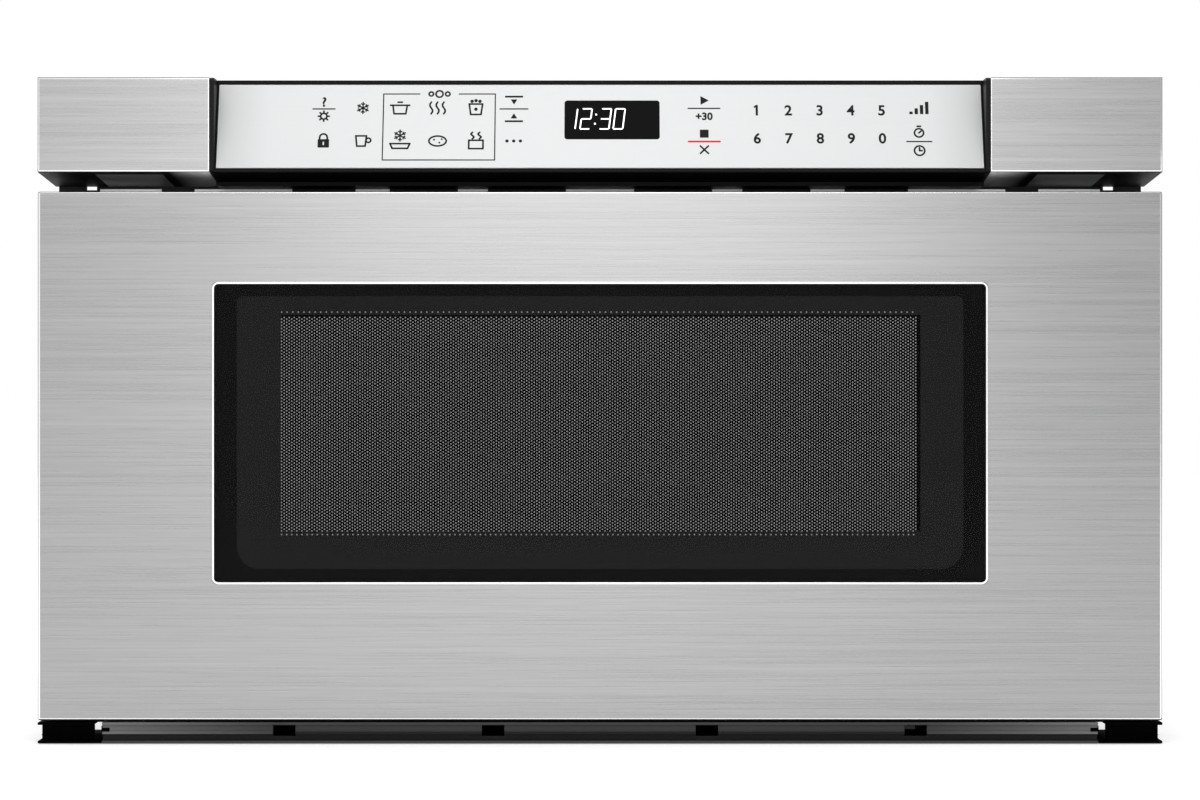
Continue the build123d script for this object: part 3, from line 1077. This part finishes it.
def door_frame():
    """Backing for the skin, a deep frame and the tunnel behind the screen, moulded in six pieces."""
    backing_y = (SKIN_BACK_Y, SKIN_BACK_Y + BACKING_SHEET)
    backing_width = WIDTH - 2 * SKIN_SHEET - 2 * BACKING_MARGIN
    backing_height = DRAWER_HEIGHT - 2 * SKIN_SHEET - 2 * BACKING_MARGIN
    frame = block(span(0, backing_width), backing_y, span(DRAWER_MID_Z, backing_height))
    deep = (SKIN_BACK_Y, CHOKE_FRONT_Y)
    frame += block(span(0, DOOR_WIDTH), deep, span(DRAWER_MID_Z, DOOR_HEIGHT))
    frame -= rounded_plate(TRIM_OUTER_WIDTH, TRIM_OUTER_HEIGHT, WINDOW_MID_Z,
                           (SKIN_BACK_Y - BOOLEAN_MARGIN, SCREEN_BACK_Y), TRIM_OUTER_RADIUS)
    ledge_y = SCREEN_BACK_Y + BACKING_SHEET
    hollow = block(span(0, DOOR_WIDTH - 2 * DOOR_WALL), (ledge_y, CHOKE_FRONT_Y + BOOLEAN_MARGIN),
                   span(DRAWER_MID_Z, DOOR_HEIGHT - 2 * DOOR_WALL))
    tunnel_wall = block(span(0, TUNNEL_WIDTH + 2 * DOOR_WALL), (SCREEN_BACK_Y, CHOKE_FRONT_Y),
                        span(TUNNEL_MID_Z, TUNNEL_HEIGHT + 2 * DOOR_WALL))
    tunnel = block(span(0, TUNNEL_WIDTH), (SCREEN_BACK_Y - BOOLEAN_MARGIN, CHOKE_FRONT_Y + BOOLEAN_MARGIN),
                   span(TUNNEL_MID_Z, TUNNEL_HEIGHT))
    tunnel_sides = upright_seams(TUNNEL_WIDTH / 2, (FRONT_Y, CHOKE_FRONT_Y))
    wings = upright_seams(DOOR_WIDTH / 2, backing_y)
    return frame - hollow + tunnel_wall - tunnel - tunnel_sides - wings


def choke_cover():
    deep = (CHOKE_FRONT_Y, CHOKE_BACK_Y)
    plate = block(span(0, DOOR_WIDTH), deep, span(DRAWER_MID_Z, DOOR_HEIGHT))
    plate -= block(span(0, TUNNEL_WIDTH), overrun(deep), span(TUNNEL_MID_Z, TUNNEL_HEIGHT))
    holes = [screw_hole(*place) for place in door_screw_places()]
    return plate - holes - upright_seams(TUNNEL_WIDTH / 2, deep)


def door_screws():
    return group([screw(*place) for place in door_screw_places()])


def door_seal():
    """Soft frame that meets the flange round the cavity when the drawer is shut."""
    deep = (CHOKE_BACK_Y, FLANGE_FRONT_Y - TOUCH_GAP)
    inner_width = 2 * CAVITY_HALF + 2 * SEAL_MARGIN
    inner_height = CAVITY_TOP_Z - CAVITY_FLOOR_Z + 2 * SEAL_MARGIN
    middle = (CAVITY_FLOOR_Z + CAVITY_TOP_Z) / 2
    outer = block(span(0, inner_width + 2 * SEAL_WIDTH), deep, span(middle, inner_height + 2 * SEAL_WIDTH))
    return outer - block(span(0, inner_width), overrun(deep), span(middle, inner_height))


def latch_hooks():
    """Two hooks that reach through the flange to the switches, each with a foot on the choke cover."""
    foot_y = (CHOKE_BACK_Y, FLANGE_FRONT_Y - TOUCH_GAP)
    hook_y = (CHOKE_BACK_Y, FLANGE_BACK_Y + HOOK_REACH)
    hook = block(span(LATCH_X, HOOK_SHEET), hook_y, span(LATCH_Z, HOOK_HEIGHT))
    foot = block(span(LATCH_X, 3 * HOOK_SHEET), foot_y, span(LATCH_Z, 2 * HOOK_HEIGHT))
    return pair(hook + foot)


# ---- Tray --------------------------------------------------------------------------------------
def tray_block(half, back_y, z, radius):
    """A block from the choke cover to back_y, its two back corners rounded."""
    solid = block((-half, half), (CHOKE_BACK_Y, back_y), z)
    return fillet(edges_at(solid.edges().filter_by(Axis.Z), back_y), radius)


def tray_body():
    rim_growth = TRAY_RIM - TRAY_WALL
    outer = tray_block(TRAY_OUT_X, TRAY_BACK_OUT_Y, (TRAY_BOTTOM_Z, TRAY_TOP_Z), TRAY_CORNER_RADIUS)
    rim = tray_block(TRAY_OUT_X + rim_growth, TRAY_BACK_OUT_Y + rim_growth,
                     (TRAY_TOP_Z - TRAY_RIM_SHEET, TRAY_TOP_Z), TRAY_CORNER_RADIUS + rim_growth)
    inside = tray_block(TRAY_IN_X, TRAY_BACK_IN_Y, (TRAY_SEAT_Z, TRAY_TOP_Z + BOOLEAN_MARGIN),
                        TRAY_CORNER_RADIUS - TRAY_WALL)
    half = TRAY_IN_X - TRAY_LEDGE
    opening = block((-half, half), (CHOKE_BACK_Y + TRAY_LEDGE, TRAY_BACK_IN_Y - TRAY_LEDGE),
                    overrun((TRAY_BOTTOM_Z, TRAY_SEAT_Z)))
    return outer + rim - inside - opening


def tray_glass():
    half = TRAY_IN_X - TRAY_GLASS_PLAY
    thick = (TRAY_SEAT_Z, TRAY_SEAT_Z + TRAY_GLASS_SHEET)
    plate = tray_block(half, TRAY_BACK_IN_Y - TRAY_GLASS_PLAY, thick,
                       TRAY_CORNER_RADIUS - TRAY_WALL - TRAY_GLASS_PLAY)
    front_play = (CHOKE_BACK_Y - BOOLEAN_MARGIN, CHOKE_BACK_Y + TRAY_GLASS_PLAY)
    return plate - block(overrun((-half, half)), front_play, overrun(thick))


# ---- Slides ------------------------------------------------------------------------------------
RAIL_Y = (RAIL_FRONT_Y, RAIL_BACK_Y)


def channel(near, far, height, lip):
    """Right-hand channel: its web `near` the side panel and its lips `far` from it."""
    lips_x = (SIDE_IN_X - far, SIDE_IN_X - far + RAIL_WALL)
    outer = block((lips_x[0], SIDE_IN_X - near), RAIL_Y, span(RAIL_Z, height))
    hollow = block((lips_x[1], SIDE_IN_X - near - RAIL_WALL), overrun(RAIL_Y),
                   span(RAIL_Z, height - 2 * RAIL_WALL))
    mouth = block(overrun(lips_x), overrun(RAIL_Y), span(RAIL_Z, height - 2 * RAIL_WALL - 2 * lip))
    return outer - hollow - mouth


MIDDLE_NEAR = RAIL_WALL + TOUCH_GAP
MIDDLE_FAR = RAIL_DEPTH - RAIL_WALL - TOUCH_GAP
MIDDLE_HEIGHT = RAIL_HEIGHT - 2 * RAIL_WALL - 2 * TOUCH_GAP
INNER_NEAR = MIDDLE_NEAR + RAIL_WALL + TOUCH_GAP
INNER_FAR = MIDDLE_FAR - RAIL_WALL - TOUCH_GAP
INNER_HEIGHT = MIDDLE_HEIGHT - 2 * RAIL_WALL - 2 * TOUCH_GAP


def outer_rail():
    return channel(0, RAIL_DEPTH, RAIL_HEIGHT, RAIL_LIP)


def middle_rail():
    return channel(MIDDLE_NEAR, MIDDLE_FAR, MIDDLE_HEIGHT, RAIL_LIP)


def inner_rail():
    """A channel turned the other way, its web raised through the lips of the outer ones."""
    web_x = SIDE_IN_X - INNER_FAR
    edge_x = SIDE_IN_X - INNER_NEAR
    outer = block((web_x, edge_x), RAIL_Y, span(RAIL_Z, INNER_HEIGHT))
    outer -= block((web_x + RAIL_WALL, edge_x + BOOLEAN_MARGIN), overrun(RAIL_Y),
                   span(RAIL_Z, INNER_HEIGHT - 2 * RAIL_WALL))
    return outer + block((ARM_OUT_X, web_x), RAIL_Y, span(RAIL_Z, INNER_STRIP_HEIGHT))


def drawer_arm():
    """Right-hand arm: a plate along the inner rail, with a foot on the choke cover."""
    plate = block((ARM_IN_X, ARM_OUT_X), (CHOKE_BACK_Y, RAIL_BACK_Y), span(RAIL_Z, ARM_HEIGHT))
    foot = block((ARM_IN_X, ARM_OUT_X + ARM_FOOT), (CHOKE_BACK_Y, FLANGE_FRONT_Y - TOUCH_GAP),
                 span(RAIL_Z, ARM_HEIGHT))
    return plate + foot


# ---- Drive -------------------------------------------------------------------------------------
def drive_rack():
    """Toothed bar on the right-hand arm, teeth down, one tooth centred over the pinion."""
    half_pitch_width = (RACK_PITCH / 2 - TOOTH_BACKLASH) / 2
    lean = math.tan(math.radians(PRESSURE_ANGLE))
    tip_z = RACK_PITCH_Z - ADDENDUM * MODULE
    root_z = RACK_PITCH_Z + DEDENDUM * MODULE
    tip_half = half_pitch_width - ADDENDUM * MODULE * lean
    root_half = half_pitch_width + DEDENDUM * MODULE * lean
    low = RAIL_FRONT_Y + RACK_END_GAP
    high = RAIL_BACK_Y
    first = math.ceil((low + root_half - PINION_Y) / RACK_PITCH)
    last = math.floor((high - root_half - PINION_Y) / RACK_PITCH)
    outline = [(low, RACK_TOP_Z), (low, root_z)]
    for index in range(first, last + 1):
        middle = PINION_Y + index * RACK_PITCH
        outline += [(middle - root_half, root_z), (middle - tip_half, tip_z), (middle + tip_half, tip_z),
                    (middle + root_half, root_z)]
    outline += [(high, root_z), (high, RACK_TOP_Z)]
    return prism_x(outline, (ARM_IN_X - RACK_WIDTH, ARM_IN_X))


def involute_angle(base_radius, radius):
    """How far the involute from base_radius has turned where it reaches radius."""
    if radius <= base_radius:
        return 0.0
    roll = math.sqrt((radius / base_radius) ** 2 - 1)
    return roll - math.atan(roll)


def pinion_outline():
    """Points (y, z) round the gear, with a tooth gap at the top."""
    base = PINION_RADIUS * math.cos(math.radians(PRESSURE_ANGLE))
    tip = PINION_RADIUS + ADDENDUM * MODULE
    root = PINION_RADIUS - DEDENDUM * MODULE
    half_tooth = (RACK_PITCH / 2 - TOOTH_BACKLASH) / 2 / PINION_RADIUS + involute_angle(base, PINION_RADIUS)
    flank = [root, *evenly(base, tip, 6)]
    points = []
    for index in range(PINION_TEETH):
        middle = math.pi / 2 + (index + 0.5) * 2 * math.pi / PINION_TEETH
        rising = [(radius, middle - half_tooth + involute_angle(base, radius)) for radius in flank]
        falling = [(radius, 2 * middle - angle) for radius, angle in reversed(rising)]
        points += rising + falling
    return [(PINION_Y + r * math.cos(a), PINION_Z + r * math.sin(a)) for r, a in points]


PINION_X = (ARM_IN_X - RACK_WIDTH / 2 - PINION_WIDTH / 2, ARM_IN_X - RACK_WIDTH / 2 + PINION_WIDTH / 2)
DRIVE_BRACKET_X = (PINION_X[0] - PINION_BRACKET_GAP - DRIVE_BRACKET_SHEET, PINION_X[0] - PINION_BRACKET_GAP)


def drive_pinion():
    gear = prism_x(pinion_outline(), PINION_X)
    shaft_x = (DRIVE_BRACKET_X[0] - SHAFT_SEAT + TOUCH_GAP, PINION_X[1])
    return gear + rod_x(shaft_x, PINION_Y, PINION_Z, SHAFT_RADIUS)


def drive_bracket():
    """Upright plate for the gear motor, with a foot on the base pan."""
    deep = span(PINION_Y, DRIVE_BRACKET_DEPTH)
    plate = block(DRIVE_BRACKET_X, deep, (CASE_SHEET, PINION_Z + DRIVE_BRACKET_TOP))
    plate -= rod_x(overrun(DRIVE_BRACKET_X), PINION_Y, PINION_Z, SHAFT_RADIUS + BRACKET_HOLE_PLAY)
    foot = block((DRIVE_BRACKET_X[0] - DRIVE_FOOT, DRIVE_BRACKET_X[1]), deep,
                 (CASE_SHEET, CASE_SHEET + DRIVE_BRACKET_SHEET))
    return plate + foot


def drive_motor():
    x = (DRIVE_BRACKET_X[0] - GEARMOTOR_LENGTH, DRIVE_BRACKET_X[0])
    body = rod_x(x, PINION_Y, PINION_Z, GEARMOTOR_RADIUS)
    seat_x = (x[1] - SHAFT_SEAT, x[1] + BOOLEAN_MARGIN)
    return body - rod_x(seat_x, PINION_Y, PINION_Z, SHAFT_RADIUS + SHAFT_PLAY)


def latch_switches():
    """Two switch blocks on plates behind the flange, each just behind its hook."""
    front = FLANGE_BACK_Y + HOOK_REACH + SWITCH_GAP
    body = block(span(LATCH_X, SWITCH_WIDTH), (front, front + SWITCH_DEPTH), span(LATCH_Z, SWITCH_HEIGHT))
    arm_z = (LATCH_Z + SWITCH_HEIGHT / 2 - HOOK_HOLE_PLAY, LATCH_Z + SWITCH_HEIGHT / 2)
    arm = block(span(LATCH_X, SWITCH_WIDTH), (BODY_FRONT_Y, front + SWITCH_DEPTH), arm_z)
    return pair(body + arm)


PARTS = {
    "base_pan": base_pan(),
    "left_side_panel": mirrored(side_panel()),
    "right_side_panel": side_panel(),
    "top_cover": top_cover(),
    "rear_panel": rear_panel(),
    "front_frame": front_frame(),
    "chassis_screws": chassis_screws(),
    "cord_gland": cord_gland(),
    "cavity_floor": cavity_floor(),
    "cavity_ceiling": cavity_ceiling(),
    "cavity_left_wall": mirrored(cavity_side_wall()),
    "cavity_right_wall": cavity_side_wall(),
    "cavity_rear_wall": cavity_rear_wall(),
    "antenna_well": antenna_well(),
    "antenna_cover": antenna_cover(),
    "waveguide": waveguide(),
    "stirrer_motor": stirrer_motor(),
    "stirrer_antenna": stirrer_antenna(),
    "magnetron": magnetron(),
    "hv_transformer": hv_transformer(),
    "hv_capacitor": hv_capacitor(),
    "noise_filter_board": noise_filter_board(),
    "thermal_cutout": thermal_cutout(),
    "fan_shroud": fan_shroud(),
    "fan_motor": fan_motor(),
    "fan_blade": fan_blade(),
    "exhaust_duct": exhaust_duct(),
    "oven_lamp": oven_lamp(),
    "humidity_sensor": humidity_sensor(),
    "left_trim_block": mirrored(trim_block()),
    "right_trim_block": trim_block(),
    "trim_brackets": pair(trim_bracket()),
    "control_housing": control_housing(),
    "end_caps": pair(end_cap()),
    "control_fascia": control_fascia(),
    "display_lens": display_lens(),
    "display_module": display_module(),
    "control_board": control_board(),
    "bottom_trim": bottom_trim(),
    "bottom_end_blocks": pair(bottom_end_block()),
    "drawer_front": drawer_front(),
    "window_trim": window_trim(),
    "window_glass": window_glass(),
    "window_screen": window_screen(),
    "door_frame": door_frame(),
    "choke_cover": choke_cover(),
    "door_seal": door_seal(),
    "door_screws": door_screws(),
    "latch_hooks": latch_hooks(),
    "latch_switches": latch_switches(),
    "tray_body": tray_body(),
    "tray_glass": tray_glass(),
    "outer_rails": pair(outer_rail()),
    "left_middle_rail": mirrored(middle_rail()),
    "right_middle_rail": middle_rail(),
    "inner_rails": pair(inner_rail()),
    "drawer_arms": pair(drawer_arm()),
    "drive_rack": drive_rack(),
    "drive_pinion": drive_pinion(),
    "drive_unit": group([drive_bracket(), drive_motor()]),
}

os.makedirs("parts", exist_ok=True)
for name, shape in PARTS.items():
    export_step(shape, f"parts/{name}.step")
print(len(PARTS), "pieces written")
